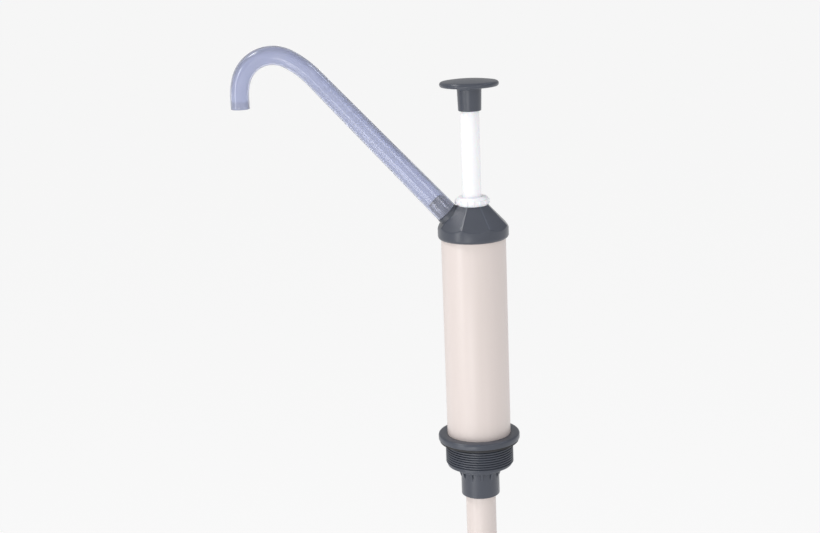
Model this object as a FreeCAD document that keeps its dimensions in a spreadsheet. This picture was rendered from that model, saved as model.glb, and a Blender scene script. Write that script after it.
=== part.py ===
"""Hand pump for a drum: a barrel on a bung adapter, with a push knob and a hooked spout.

The origin is the centre of the drum's bung seat, where the adapter's gasket rests, with +Z up and
the spout towards -X. Sizes are in millimetres. The plunger stands part way up its stroke.
"""

import FreeCAD
import Part

import math
import os

import Sketcher

Vector = FreeCAD.Vector

# Driving sizes: alias, value. Radii and lengths in mm, angles in degrees. A height is measured
# from the bung seat.
DRIVING_SIZES = {
    # Clearances
    "running_gap": 0.1,
    "fit_gap": 0.05,
    # Bung adapter and its gasket
    "gasket_thickness": 2.0,
    "gasket_radius": 35.0,
    "gasket_bore_radius": 30.2,
    "flange_radius": 36.0,
    "flange_thickness": 5.5,
    "flange_edge_round": 1.7,
    "socket_depth": 3.0,
    "thread_radius": 30.0,
    "thread_length": 22.0,
    "thread_lead": 1.5,
    "thread_relief_radius": 29.0,
    "adapter_bore_radius": 22.1,
    # Barrel
    "barrel_radius": 28.0,
    "barrel_bore_radius": 25.0,
    "barrel_top_height": 191.2,
    # Foot valve
    "spigot_radius": 22.0,
    "spigot_depth": 26.0,
    "tail_radius": 17.0,
    "tail_depth": 50.0,
    "plug_top_height": 28.0,
    "flow_bore_radius": 7.0,
    "seat_depth": 2.0,
    "chamber_radius": 15.0,
    "ball_radius": 11.0,
    "cage_radius": 16.45,
    "cage_bore_radius": 13.0,
    "cage_thickness": 4.0,
    "cage_bar_width": 3.0,
    "o_ring_depth": 10.0,
    "o_ring_section_radius": 1.0,
    "o_ring_groove_half": 1.35,
    "clip_depth": 22.2,
    "clip_thickness": 1.5,
    "clip_radius": 24.0,
    "clip_bore_radius": 20.65,
    "clip_mouth": 17.0,
    # Suction tube and strainer
    "tube_radius": 13.35,
    "tube_bore_radius": 10.45,
    "tube_bottom_depth": 828.0,
    "strainer_radius": 16.5,
    "strainer_top_depth": 805.0,
    "strainer_bottom_depth": 842.0,
    "strainer_floor": 3.0,
    "slot_width": 3.0,
    "slot_height": 8.0,
    "slot_turns": 5,
    # Pump head
    "band_radius": 30.6,
    "band_bottom_height": 183.4,
    "band_top_height": 195.2,
    "band_edge_round": 3.2,
    "facets": 8,
    "facet_foot": 28.7,
    "facet_crest": 13.2,
    "facet_edge_round": 6.0,
    "head_top_height": 212.4,
    "head_gasket_thickness": 1.5,
    "cavity_radius": 24.0,
    "cavity_slope_height": 195.6,
    "boss_radius": 14.0,
    "boss_bottom_height": 195.0,
    "gland_pocket_radius": 10.6,
    "gland_pocket_height": 197.0,
    "rod_hole_gap": 0.3,
    # Nipple, along its own leaning axis
    "nipple_root_across": 19.72,
    "nipple_root_height": 203.9,
    "nipple_lean": 42.0,
    "nipple_length": 18.6,
    "nipple_radius": 8.2,
    "nipple_bore_radius": 6.4,
    "nipple_seat_depth": 0.5,
    "outlet_radius": 5.5,
    "outlet_depth": 4.6,
    "collar_radius": 10.0,
    "collar_thickness": 4.0,
    "collar_root": 1.6,
    "nipple_tip_radius": 7.2,
    "nipple_tip_length": 3.0,
    # Gland
    "seal_thickness": 5.0,
    "seal_radius": 10.5,
    "gland_washer_thickness": 1.5,
    "gland_bore_radius": 8.2,
    "gland_shank_length": 8.5,
    "gland_foot_radius": 13.0,
    "gland_foot_height": 1.6,
    "gland_grip_radius": 14.4,
    "gland_height": 7.4,
    "gland_top_radius": 12.4,
    "gland_bevel": 2.2,
    "gland_ribs": 16,
    "gland_rib_radius": 1.1,
    "gland_rib_circle": 14.1,
    # Plunger rod and knob
    "rod_radius": 8.0,
    "rod_spigot_radius": 5.0,
    "rod_bottom_height": 100.0,
    "rod_shoulder_height": 131.1,
    "rod_top_height": 311.0,
    "neck_bottom_height": 293.4,
    "neck_radius": 9.85,
    "neck_root_radius": 10.5,
    "neck_socket_radius": 8.05,
    "neck_root_round": 3.0,
    "disc_radius": 25.2,
    "disc_bottom_height": 313.9,
    "disc_thickness": 4.2,
    "disc_edge_round": 1.9,
    "crown": 2.2,
    # Piston stack, from the bottom up
    "nut_height": 101.0,
    "nut_thickness": 7.0,
    "nut_radius": 9.2,
    "washer_thickness": 1.6,
    "washer_radius": 12.5,
    "piston_radius": 24.7,
    "piston_thickness": 14.0,
    "piston_hub_radius": 9.2,
    "piston_hub_height": 6.0,
    "port_circle": 15.0,
    "port_radius": 2.9,
    "ports": 8,
    "cup_groove_radius": 20.5,
    "cup_groove_bottom": 3.0,
    "cup_groove_height": 7.6,
    "cup_radius": 24.95,
    "cup_lip": 1.6,
    "cup_heel_inset": 0.4,
    "valve_disc_thickness": 2.0,
    "valve_disc_radius": 21.0,
    "valve_disc_bore_radius": 9.5,
    "stop_radius": 15.0,
    "stop_thickness": 1.5,
    # Spout, along its own leaning axis from the collar's outer face
    "spout_gap": 0.4,
    "spout_root_radius": 9.8,
    "spout_radius": 8.0,
    "spout_bore_radius": 6.6,
    "spout_socket_radius": 8.35,
    "spout_socket_depth": 18.0,
    "spout_leg_length": 161.3,
    "bend_radius": 77.0,
    "bend_turn": 19.5,
    "crook_radius": 27.7,
    "crook_turn": 103.3,
    "drop_radius": 55.0,
    "drop_turn": 15.2,
    "drop_length": 9.0,
}


class Size:
    """A driving size, or a sum of them: its value, and the formula that FreeCAD binds to it."""

    def __init__(self, value, formula):
        self.value = value
        self.formula = formula

    def _joined(self, sign, other, value):
        text = other.formula if isinstance(other, Size) else repr(float(other))
        return Size(value, f"({self.formula} {sign} {text})")

    def __float__(self):
        return float(self.value)

    def __add__(self, other):
        return self._joined("+", other, self.value + float(other))

    def __sub__(self, other):
        return self._joined("-", other, self.value - float(other))

    def __mul__(self, other):
        return self._joined("*", other, self.value * float(other))

    def __truediv__(self, other):
        return self._joined("/", other, self.value / float(other))

    def __neg__(self):
        return Size(-self.value, f"(-1 * {self.formula})")


class Sizes:
    """The sheet's sizes as attributes, each named by its alias."""

    def __init__(self, doc):
        self.sheet = doc.addObject("Spreadsheet::Sheet", "Sizes")
        for row, (alias, value) in enumerate(DRIVING_SIZES.items(), start=1):
            self.sheet.set(f"A{row}", alias.replace("_", " "))
            self.sheet.set(f"B{row}", str(value))
            self.sheet.setAlias(f"B{row}", alias)
            setattr(self, alias, Size(value, f"Sizes.{alias}"))
        doc.recompute()


def cosine(angle):
    """The cosine of an angle in degrees."""
    return Size(math.cos(math.radians(angle.value)), f"cos({angle.formula})")


def sine(angle):
    """The sine of an angle in degrees."""
    return Size(math.sin(math.radians(angle.value)), f"sin({angle.formula})")


ZERO = Size(0.0, "0")

# How far a cut runs past the face that it opens, in mm.
CUT_MARGIN = 1.0


# ---------------------------------------------------------------- shared steps

def bind(target, path, size):
    """Ties a property of an object to a size from the sheet."""
    target.setExpression(path, size.formula)


def new_body(doc, label, height=None):
    """Starts a sub-part, and stands it at a height above the bung seat."""
    body = doc.addObject("PartDesign::Body", label)
    body.Label = label
    if height is not None:
        bind(body, "Placement.Base.z", height)
    return body


def new_sketch(body, name, role, lift=None):
    """Opens a sketch on one of the body's own origin planes, raised by lift where it is given."""
    plane = next(item for item in body.Origin.OriginFeatures if item.Role == role)
    sketch = body.newObject("Sketcher::SketchObject", name)
    sketch.AttachmentSupport = (plane, [""])
    sketch.MapMode = "FlatFace"
    if lift is not None:
        bind(sketch, "AttachmentOffset.Base.z", lift)
    return sketch


def hold_point(sketch, edge, end, across, up):
    """Fixes one end of an edge at (across, up) from the sketch's origin."""
    for kind, size, axis in (("DistanceX", across, -2), ("DistanceY", up, -1)):
        if size is ZERO:
            sketch.addConstraint(Sketcher.Constraint("PointOnObject", edge, end, axis))
            continue
        rule = Sketcher.Constraint(kind, -1, 1, edge, end, float(size))
        number = sketch.addConstraint(rule)
        bind(sketch, f"Constraints[{number}]", size)


def draw_outline(sketch, corners, arcs=()):
    """Draws a closed outline through corners; an edge in arcs is round and centred on the V axis."""
    points = [Vector(float(across), float(up), 0) for across, up in corners]
    count = len(points)
    for i in range(count):
        start, end = points[i], points[(i + 1) % count]
        if i in arcs:
            sketch.addGeometry(crown_arc(start, end), False)
        else:
            sketch.addGeometry(Part.LineSegment(start, end), False)
    first = [2 if i in arcs else 1 for i in range(count)]
    last = [1 if i in arcs else 2 for i in range(count)]
    for i in range(count):
        after = (i + 1) % count
        sketch.addConstraint(Sketcher.Constraint("Coincident", i, last[i], after, first[after]))
    for i, (across, up) in enumerate(corners):
        hold_point(sketch, i, first[i], across, up)
    for i in arcs:
        sketch.addConstraint(Sketcher.Constraint("PointOnObject", i, 3, -2))


def crown_arc(crest, rim):
    """An arc from a crest on the V axis down to a rim, level at the crest."""
    drop = crest.y - rim.y
    reach = rim.x - crest.x
    radius = (drop ** 2 + reach ** 2) / (2 * drop)
    centre = Vector(0, crest.y - radius, 0)
    circle = Part.Circle(centre, Vector(0, 0, 1), radius)
    rim_angle = math.atan2(rim.y - centre.y, rim.x)
    return Part.ArcOfCircle(circle, rim_angle, math.pi / 2)


def draw_circle(sketch, radius, across=ZERO, along=ZERO):
    """Draws a circle of a bound radius."""
    middle = Vector(float(across), float(along), 0)
    edge = sketch.addGeometry(Part.Circle(middle, Vector(0, 0, 1), float(radius)), False)
    number = sketch.addConstraint(Sketcher.Constraint("Radius", edge, float(radius)))
    bind(sketch, f"Constraints[{number}]", radius)
    hold_point(sketch, edge, 3, across, along)


def turn(body, name, corners, arcs=(), kind="PartDesign::Revolution", lean=None):
    """Turns an outline of (radius, height) corners full circle, to add to the body or to cut it.

    A lean is (across, height, angle): the outline's own axis starts there and tilts to -X.
    """
    sketch = new_sketch(body, name + "_outline", "XZ_Plane")
    if lean is not None:
        across, height, angle = lean
        sketch.AttachmentOffset = FreeCAD.Placement(Vector(0, 0, 0), FreeCAD.Rotation(0, 0, 0))
        bind(sketch, "AttachmentOffset.Base.x", across)
        bind(sketch, "AttachmentOffset.Base.y", height)
        bind(sketch, "AttachmentOffset.Rotation.Angle", angle)
    draw_outline(sketch, corners, arcs)
    before = volume(body)
    feature = body.newObject(kind, name)
    feature.Profile = sketch
    feature.ReferenceAxis = (sketch, ["V_Axis"])
    feature.Angle = 360.0
    body.Document.recompute()
    if kind.endswith("Groove"):
        check_cut(body, name, before)
    return feature


def volume(body):
    """The body's volume so far, which is nothing before its first feature."""
    return 0.0 if body.Shape.isNull() else body.Shape.Volume


def check_cut(body, name, before):
    """Stops if the last cut left the body's volume as it was."""
    if not 0 < volume(body) < before:
        raise ValueError(f"{body.Label}: {name} cut nothing")


def pad(body, name, sketch, length):
    """Raises a sketch by a bound length."""
    feature = body.newObject("PartDesign::Pad", name)
    feature.Profile = sketch
    bind(feature, "Length", length)
    body.Document.recompute()
    return feature


def cut_through(body, name, sketch):
    """Cuts a sketch right through the body, both ways, and checks that it removed something."""
    before = volume(body)
    feature = body.newObject("PartDesign::Pocket", name)
    feature.Profile = sketch
    feature.Type = "ThroughAll"
    feature.Midplane = True
    body.Document.recompute()
    check_cut(body, name, before)
    return feature


def repeat_round(body, name, feature, count):
    """Repeats a feature evenly round the body's vertical axis."""
    axis = next(item for item in body.Origin.OriginFeatures if item.Role == "Z_Axis")
    pattern = body.newObject("PartDesign::PolarPattern", name)
    pattern.Originals = [feature]
    pattern.Axis = (axis, [""])
    pattern.Angle = 360.0
    bind(pattern, "Occurrences", count)
    body.Tip = pattern
    body.Document.recompute()
    return pattern


def round_edges(body, name, feature, radius, is_chosen, kind="PartDesign::Fillet"):
    """Rounds or bevels the edges of a feature that is_chosen picks."""
    edges = feature.Shape.Edges
    chosen = [f"Edge{i}" for i, edge in enumerate(edges, start=1) if is_chosen(edge)]
    if not chosen:
        raise ValueError(f"{body.Label}: {name} found no edge")
    dressing = body.newObject(kind, name)
    dressing.Base = (feature, chosen)
    bind(dressing, "Radius" if kind.endswith("Fillet") else "Size", radius)
    body.Document.recompute()
    return dressing


def ring_edge(radius, height):
    """A test for the level circular edges of a radius at a height, in the body's own frame."""
    def is_ring(edge):
        curve = edge.Curve
        if not isinstance(curve, Part.Circle):
            return False
        at_height = abs(curve.Center.z - float(height)) < 1e-4
        return at_height and abs(curve.Radius - float(radius)) < 1e-4
    return is_ring


def tube(doc, label, bore, outer, length, height):
    """A plain ring or pipe standing at a height."""
    body = new_body(doc, label, height)
    turn(body, "Wall", [(bore, ZERO), (outer, ZERO), (outer, length), (bore, length)])
    return body


# ---------------------------------------------------------------- drum adapter

def bung_adapter(doc, size):
    """Flanged adapter that screws into the bung, with a socket for the foot of the barrel."""
    top = size.gasket_thickness + size.flange_thickness
    socket_floor = top - size.socket_depth
    socket = size.barrel_radius + size.running_gap
    body = new_body(doc, "bung_adapter")
    shell = turn(body, "Shell", [
        (size.adapter_bore_radius, -size.thread_length),
        (size.thread_radius, -size.thread_length),
        (size.thread_radius, ZERO),
        (size.thread_relief_radius, ZERO),
        (size.thread_relief_radius, size.gasket_thickness),
        (size.flange_radius, size.gasket_thickness),
        (size.flange_radius, top),
        (socket, top),
        (socket, socket_floor),
        (size.adapter_bore_radius, socket_floor),
    ])
    rounded = round_edges(body, "FlangeEdge", shell, size.flange_edge_round,
                          ring_edge(size.flange_radius, top))
    round_edges(body, "ThreadLead", rounded, size.thread_lead,
                ring_edge(size.thread_radius, -size.thread_length), "PartDesign::Chamfer")
    return body


def bung_gasket(doc, size):
    """Flat gasket between the adapter's flange and the drum."""
    return tube(doc, "bung_gasket", size.gasket_bore_radius, size.gasket_radius,
                size.gasket_thickness, ZERO)


# ---------------------------------------------------------------- foot valve and suction

def barrel_foot(size):
    """The height at which the barrel and the foot valve's plug stand in the adapter's socket."""
    return size.gasket_thickness + size.flange_thickness - size.socket_depth + size.running_gap


def foot_valve_body(doc, size):
    """Plug in the barrel's foot: ball seat above, swivel spigot and tube socket below."""
    tube_socket = size.tube_radius + size.fit_gap
    plug = size.barrel_bore_radius - size.fit_gap
    cage_socket = size.cage_radius + size.fit_gap
    cage_shelf = size.plug_top_height - size.cage_thickness
    seat_top = size.chamber_radius - size.flow_bore_radius - size.seat_depth
    groove_half = size.o_ring_groove_half
    groove_floor = size.spigot_radius - size.o_ring_section_radius * 2
    clip_bottom = size.clip_depth + size.clip_thickness + size.running_gap
    clip_top = size.clip_depth - size.running_gap
    body = new_body(doc, "foot_valve_body")
    turn(body, "Shell", [
        (tube_socket, -size.tail_depth),
        (size.tail_radius, -size.tail_depth),
        (size.tail_radius, -size.spigot_depth),
        (size.spigot_radius, -size.spigot_depth),
        (size.spigot_radius, -clip_bottom),
        (size.clip_bore_radius, -clip_bottom),
        (size.clip_bore_radius, -clip_top),
        (size.spigot_radius, -clip_top),
        (size.spigot_radius, -size.o_ring_depth - groove_half),
        (groove_floor, -size.o_ring_depth - groove_half),
        (groove_floor, groove_half - size.o_ring_depth),
        (size.spigot_radius, groove_half - size.o_ring_depth),
        (size.spigot_radius, barrel_foot(size)),
        (plug, barrel_foot(size)),
        (plug, size.plug_top_height),
        (cage_socket, size.plug_top_height),
        (cage_socket, cage_shelf),
        (size.chamber_radius, cage_shelf),
        (size.chamber_radius, seat_top),
        (size.flow_bore_radius, -size.seat_depth),
        (size.flow_bore_radius, -size.spigot_depth),
        (tube_socket, -size.spigot_depth),
    ])
    return body


def suction_ball(doc, size):
    """Check ball at rest on its 45 degree seat."""
    ball = doc.addObject("Part::Sphere", "suction_ball")
    ball.Label = "suction_ball"
    bind(ball, "Radius", size.ball_radius)
    apex = -size.seat_depth - size.flow_bore_radius
    bind(ball, "Placement.Base.z", apex + size.ball_radius * math.sqrt(2) + size.fit_gap)
    return ball


def ball_cage(doc, size):
    """Ring with two crossed bars that stops the ball's rise."""
    shelf = size.plug_top_height - size.cage_thickness
    body = tube(doc, "ball_cage", size.cage_bore_radius, size.cage_radius,
                size.cage_thickness, shelf)
    reach = size.cage_bore_radius + size.fit_gap
    half = size.cage_bar_width / 2
    for name, across, along in (("BarAcross", reach, half), ("BarAlong", half, reach)):
        sketch = new_sketch(body, name + "Outline", "XY_Plane")
        draw_outline(sketch, [(-across, -along), (across, -along), (across, along), (-across, along)])
        pad(body, name, sketch, size.cage_thickness)
    return body


def spigot_o_ring(doc, size):
    """Seal between the swivel spigot and the adapter's bore."""
    ring = doc.addObject("Part::Torus", "spigot_o_ring")
    ring.Label = "spigot_o_ring"
    bind(ring, "Radius1", size.spigot_radius - size.o_ring_section_radius + size.fit_gap)
    bind(ring, "Radius2", size.o_ring_section_radius)
    bind(ring, "Placement.Base.z", -size.o_ring_depth)
    return ring


def retaining_ring(doc, size):
    """Open clip in the spigot's groove, under the adapter, that keeps the pump in it."""
    body = tube(doc, "retaining_ring", size.clip_bore_radius, size.clip_radius,
                size.clip_thickness, -size.clip_depth - size.clip_thickness)
    half = size.clip_mouth / 2
    outside = size.clip_radius + size.running_gap
    sketch = new_sketch(body, "MouthOutline", "XY_Plane")
    draw_outline(sketch, [(-half, size.clip_bore_radius / 2), (half, size.clip_bore_radius / 2),
                          (half, outside), (-half, outside)])
    cut_through(body, "Mouth", sketch)
    return body


def suction_tube(doc, size):
    """Dip tube from the foot valve down to the strainer near the drum's floor."""
    top = size.spigot_depth + size.fit_gap
    return tube(doc, "suction_tube", size.tube_bore_radius, size.tube_radius,
                size.tube_bottom_depth - top, -size.tube_bottom_depth)


def suction_strainer(doc, size):
    """Slotted cap on the lower end of the dip tube."""
    rise = size.strainer_bottom_depth - size.strainer_top_depth
    shelf = size.strainer_bottom_depth - size.tube_bottom_depth
    socket = size.tube_radius + size.fit_gap
    body = new_body(doc, "suction_strainer", -size.strainer_bottom_depth)
    cup = turn(body, "Cup", [
        (ZERO, ZERO),
        (size.strainer_radius, ZERO),
        (size.strainer_radius, rise),
        (socket, rise),
        (socket, shelf),
        (size.tube_bore_radius, shelf),
        (size.tube_bore_radius, size.strainer_floor),
        (ZERO, size.strainer_floor),
    ])
    round_edges(body, "FootEdge", cup, size.strainer_floor / 2,
                ring_edge(size.strainer_radius, 0.0))
    half = size.slot_width / 2
    slot_top = size.strainer_floor + size.slot_height
    sketch = new_sketch(body, "SlotOutline", "XZ_Plane")
    draw_outline(sketch, [(-half, size.strainer_floor), (half, size.strainer_floor),
                          (half, slot_top), (-half, slot_top)])
    slot = cut_through(body, "Slot", sketch)
    repeat_round(body, "Slots", slot, size.slot_turns)
    return body


# ---------------------------------------------------------------- barrel and head

def barrel(doc, size):
    """The pump's cylinder."""
    return tube(doc, "barrel", size.barrel_bore_radius, size.barrel_radius,
                size.barrel_top_height - barrel_foot(size), barrel_foot(size))


def head_gasket(doc, size):
    """Seal between the barrel's top edge and the head."""
    return tube(doc, "head_gasket", size.barrel_bore_radius, size.barrel_radius,
                size.head_gasket_thickness, size.barrel_top_height)


def draw_octagon(sketch, apothem, facets):
    """Draws a regular outline with one flat side square to -X."""
    count = int(facets.value)
    corner_radius = float(apothem) / math.cos(math.pi / count)
    angles = [math.pi * (2 * i + 1) / count for i in range(count)]
    points = [Vector(corner_radius * math.cos(a), corner_radius * math.sin(a), 0) for a in angles]
    for i in range(count):
        sketch.addGeometry(Part.LineSegment(points[i], points[(i + 1) % count]), False)
    for i in range(count):
        sketch.addConstraint(Sketcher.Constraint("Coincident", i, 2, (i + 1) % count, 1))
    corner = apothem / cosine(Size(180.0, "180") / facets)
    for i, angle in enumerate(angles):
        across = corner * math.cos(angle)
        along = corner * math.sin(angle)
        hold_point(sketch, i, 1, across, along)


def is_facet_edge(edge):
    """Whether an edge is one of the straight slanting edges between two facets."""
    ends = [vertex.Point for vertex in edge.Vertexes]
    return len(ends) == 2 and abs(ends[0].z - ends[1].z) > 1.0


def pump_head(doc, size):
    """Round band over the barrel's top, a faceted cone above it, and the nipple's collar."""
    top = size.head_top_height - size.band_bottom_height
    band_top = size.band_top_height - size.band_bottom_height
    body = new_body(doc, "pump_head", size.band_bottom_height)
    foot = new_sketch(body, "FacetFoot", "XY_Plane", band_top)
    draw_octagon(foot, size.facet_foot, size.facets)
    crest = new_sketch(body, "FacetCrest", "XY_Plane", top)
    draw_octagon(crest, size.facet_crest, size.facets)
    cone = body.newObject("PartDesign::AdditiveLoft", "Cone")
    cone.Profile = foot
    cone.Sections = [crest]
    cone.Ruled = True
    doc.recompute()
    round_edges(body, "FacetEdges", cone, size.facet_edge_round, is_facet_edge)
    band = turn(body, "Band", [(ZERO, ZERO), (size.band_radius, ZERO),
                               (size.band_radius, band_top), (ZERO, band_top)])
    round_edges(body, "BandEdge", band, size.band_edge_round,
                ring_edge(size.band_radius, 0.0))
    turn(body, "Collar", [
        (ZERO, -size.collar_root),
        (size.collar_radius, -size.collar_root),
        (size.collar_radius, size.collar_thickness),
        (ZERO, size.collar_thickness),
    ], lean=nipple_lean(size))
    hollow_head(body, size)
    return body


def nipple_lean(size):
    """Where the nipple's axis leaves its facet, and how far it leans, in the head's frame."""
    return (-size.nipple_root_across, size.nipple_root_height - size.band_bottom_height,
            size.nipple_lean)


def hollow_head(body, size):
    """Hollows the head over the barrel, and cuts the gland pocket, rod hole, outlet and seat."""
    def up(height):
        return height - size.band_bottom_height

    ledge = size.barrel_top_height + size.head_gasket_thickness
    slope_rise = size.cavity_radius - size.boss_radius
    turn(body, "Cavity", [
        (ZERO, ZERO),
        (size.barrel_radius + size.fit_gap, ZERO),
        (size.barrel_radius + size.fit_gap, up(ledge)),
        (size.cavity_radius, up(ledge)),
        (size.cavity_radius, up(size.cavity_slope_height)),
        (size.boss_radius, up(size.cavity_slope_height + slope_rise)),
        (size.boss_radius, up(size.boss_bottom_height)),
        (ZERO, up(size.boss_bottom_height)),
    ], kind="PartDesign::Groove")
    hole = size.rod_radius + size.rod_hole_gap
    turn(body, "GlandPocket", [
        (ZERO, up(size.boss_bottom_height) - CUT_MARGIN),
        (hole, up(size.boss_bottom_height) - CUT_MARGIN),
        (hole, up(size.gland_pocket_height)),
        (size.gland_pocket_radius, up(size.gland_pocket_height)),
        (size.gland_pocket_radius, up(size.head_top_height) + CUT_MARGIN),
        (ZERO, up(size.head_top_height) + CUT_MARGIN),
    ], kind="PartDesign::Groove")
    seat = size.nipple_radius + size.fit_gap
    turn(body, "Outlet", [
        (ZERO, -size.outlet_depth),
        (size.outlet_radius, -size.outlet_depth),
        (size.outlet_radius, -size.nipple_seat_depth),
        (seat, -size.nipple_seat_depth),
        (seat, size.collar_thickness + CUT_MARGIN),
        (ZERO, size.collar_thickness + CUT_MARGIN),
    ], kind="PartDesign::Groove", lean=nipple_lean(size))


def stand_on_nipple_axis(body, size, start):
    """Stands a body on the nipple's leaning axis, at a distance along it."""
    body.Placement = FreeCAD.Placement(Vector(0, 0, 0), FreeCAD.Rotation(Vector(0, -1, 0), 1))
    bind(body, "Placement.Rotation.Angle", size.nipple_lean)
    bind(body, "Placement.Base.x", -size.nipple_root_across - start * sine(size.nipple_lean))
    bind(body, "Placement.Base.z", size.nipple_root_height + start * cosine(size.nipple_lean))


def outlet_nipple(doc, size):
    """Steel stub pressed in the head's collar, with a tapered tip that the spout slips over."""
    body = new_body(doc, "outlet_nipple")
    stand_on_nipple_axis(body, size, -size.nipple_seat_depth)
    length = size.nipple_length + size.nipple_seat_depth
    turn(body, "Stub", [
        (size.nipple_bore_radius, ZERO),
        (size.nipple_radius, ZERO),
        (size.nipple_radius, length - size.nipple_tip_length),
        (size.nipple_tip_radius, length),
        (size.nipple_bore_radius, length),
    ])
    return body


# ---------------------------------------------------------------- gland

def rod_seal(doc, size):
    """Packing ring round the rod, at the bottom of the gland pocket."""
    return tube(doc, "rod_seal", size.rod_radius + size.fit_gap, size.seal_radius,
                size.seal_thickness, size.gland_pocket_height)


def gland_washer(doc, size):
    """Washer that spreads the gland nut's load on the packing."""
    return tube(doc, "gland_washer", size.gland_bore_radius, size.seal_radius,
                size.gland_washer_thickness, size.gland_pocket_height + size.seal_thickness)


def gland_nut(doc, size):
    """Ribbed hand nut that closes the gland and guides the rod."""
    rib_bottom = size.gland_foot_height
    bevel_start = size.gland_height - size.gland_bevel
    body = new_body(doc, "gland_nut", size.head_top_height)
    turn(body, "Shell", [
        (size.gland_bore_radius, -size.gland_shank_length),
        (size.seal_radius, -size.gland_shank_length),
        (size.seal_radius, ZERO),
        (size.gland_foot_radius, ZERO),
        (size.gland_foot_radius, rib_bottom),
        (size.gland_grip_radius, rib_bottom),
        (size.gland_grip_radius, bevel_start),
        (size.gland_top_radius, size.gland_height),
        (size.gland_bore_radius, size.gland_height),
    ])
    sketch = new_sketch(body, "RibOutline", "XY_Plane", rib_bottom)
    draw_circle(sketch, size.gland_rib_radius, size.gland_rib_circle)
    rib = pad(body, "Rib", sketch, bevel_start - rib_bottom)
    repeat_round(body, "Ribs", rib, size.gland_ribs)
    return body


# ---------------------------------------------------------------- plunger

def plunger_rod(doc, size):
    """Rod from the piston up through the gland to the knob."""
    shoulder = size.rod_shoulder_height - size.rod_bottom_height
    top = size.rod_top_height - size.rod_bottom_height
    body = new_body(doc, "plunger_rod", size.rod_bottom_height)
    turn(body, "Shaft", [(ZERO, ZERO), (size.rod_spigot_radius, ZERO),
                         (size.rod_spigot_radius, shoulder), (size.rod_radius, shoulder),
                         (size.rod_radius, top), (ZERO, top)])
    return body


def knob(doc, size):
    """Round push knob: a crowned disc on a short neck that takes the top of the rod."""
    disc = size.disc_bottom_height - size.neck_bottom_height
    rim_top = disc + size.disc_thickness
    socket_top = size.rod_top_height - size.neck_bottom_height + size.fit_gap
    body = new_body(doc, "knob", size.neck_bottom_height)
    shell = turn(body, "Shell", [
        (size.neck_socket_radius, ZERO),
        (size.neck_radius, ZERO),
        (size.neck_root_radius, disc),
        (size.disc_radius, disc),
        (size.disc_radius, rim_top),
        (ZERO, rim_top + size.crown),
        (ZERO, socket_top),
        (size.neck_socket_radius, socket_top),
    ])
    root = round_edges(body, "NeckRoot", shell, size.neck_root_round,
                       ring_edge(size.neck_root_radius, disc))
    under = round_edges(body, "RimUnderside", root, size.disc_edge_round,
                        ring_edge(size.disc_radius, disc))
    round_edges(body, "RimTop", under, size.disc_edge_round,
                ring_edge(size.disc_radius, rim_top))
    return body


def piston_nut(doc, size):
    """Hexagon nut under the piston, on the rod's lower end."""
    body = new_body(doc, "piston_nut", size.nut_height)
    sketch = new_sketch(body, "NutOutline", "XY_Plane")
    across = [size.nut_radius * math.cos(math.radians(60 * i)) for i in range(6)]
    along = [size.nut_radius * math.sin(math.radians(60 * i)) for i in range(6)]
    corners = [(x, ZERO if abs(float(y)) < 1e-9 else y) for x, y in zip(across, along)]
    draw_outline(sketch, corners)
    pad(body, "Hexagon", sketch, size.nut_thickness)
    bore = new_sketch(body, "BoreOutline", "XY_Plane")
    draw_circle(bore, size.rod_spigot_radius)
    cut_through(body, "Bore", bore)
    return body


def piston_heights(size):
    """Heights of the piston stack's joints: washer, piston, valve seat, hub top."""
    washer = size.nut_height + size.nut_thickness
    piston = washer + size.washer_thickness
    seat = piston + size.piston_thickness
    hub = seat + size.piston_hub_height
    return washer, piston, seat, hub


def piston_washer(doc, size):
    """Washer between the nut and the piston."""
    height = piston_heights(size)[0]
    return tube(doc, "piston_washer", size.rod_spigot_radius, size.washer_radius,
                size.washer_thickness, height)


def piston_body(doc, size):
    """Piston with a groove for its cup, a ring of flow ports and a hub that guides the valve."""
    height = piston_heights(size)[1]
    groove_top = size.cup_groove_bottom + size.cup_groove_height
    hub_top = size.piston_thickness + size.piston_hub_height
    body = new_body(doc, "piston_body", height)
    turn(body, "Shell", [
        (size.rod_spigot_radius, ZERO),
        (size.piston_radius, ZERO),
        (size.piston_radius, size.cup_groove_bottom),
        (size.cup_groove_radius, size.cup_groove_bottom),
        (size.cup_groove_radius, groove_top),
        (size.piston_radius, groove_top),
        (size.piston_radius, size.piston_thickness),
        (size.piston_hub_radius, size.piston_thickness),
        (size.piston_hub_radius, hub_top),
        (size.rod_spigot_radius, hub_top),
    ])
    sketch = new_sketch(body, "PortOutline", "XY_Plane")
    draw_circle(sketch, size.port_radius, size.port_circle)
    port = cut_through(body, "Port", sketch)
    repeat_round(body, "Ports", port, size.ports)
    return body


def piston_cup(doc, size):
    """Lipped seal in the piston's groove, its lip up so that it holds on the up stroke."""
    height = piston_heights(size)[1] + size.cup_groove_bottom
    length = size.cup_groove_height
    body = new_body(doc, "piston_cup", height)
    turn(body, "Section", [
        (size.cup_groove_radius, ZERO),
        (size.cup_radius - size.cup_heel_inset, ZERO),
        (size.cup_radius, length),
        (size.cup_radius - size.cup_lip, length),
        (size.cup_radius - size.cup_lip, length / 2),
        (size.cup_groove_radius + size.cup_lip, length / 2),
        (size.cup_groove_radius + size.cup_lip, length),
        (size.cup_groove_radius, length),
    ])
    return body


def piston_valve_disc(doc, size):
    """Flat ring valve that lies on the piston's ports and lifts on the down stroke."""
    seat = piston_heights(size)[2]
    return tube(doc, "piston_valve_disc", size.valve_disc_bore_radius, size.valve_disc_radius,
                size.valve_disc_thickness, seat + size.fit_gap)


def valve_stop_washer(doc, size):
    """Washer on the hub that stops the valve's lift."""
    hub = piston_heights(size)[3]
    return tube(doc, "valve_stop_washer", size.rod_spigot_radius, size.stop_radius,
                size.stop_thickness, hub)


# ---------------------------------------------------------------- spout

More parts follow.
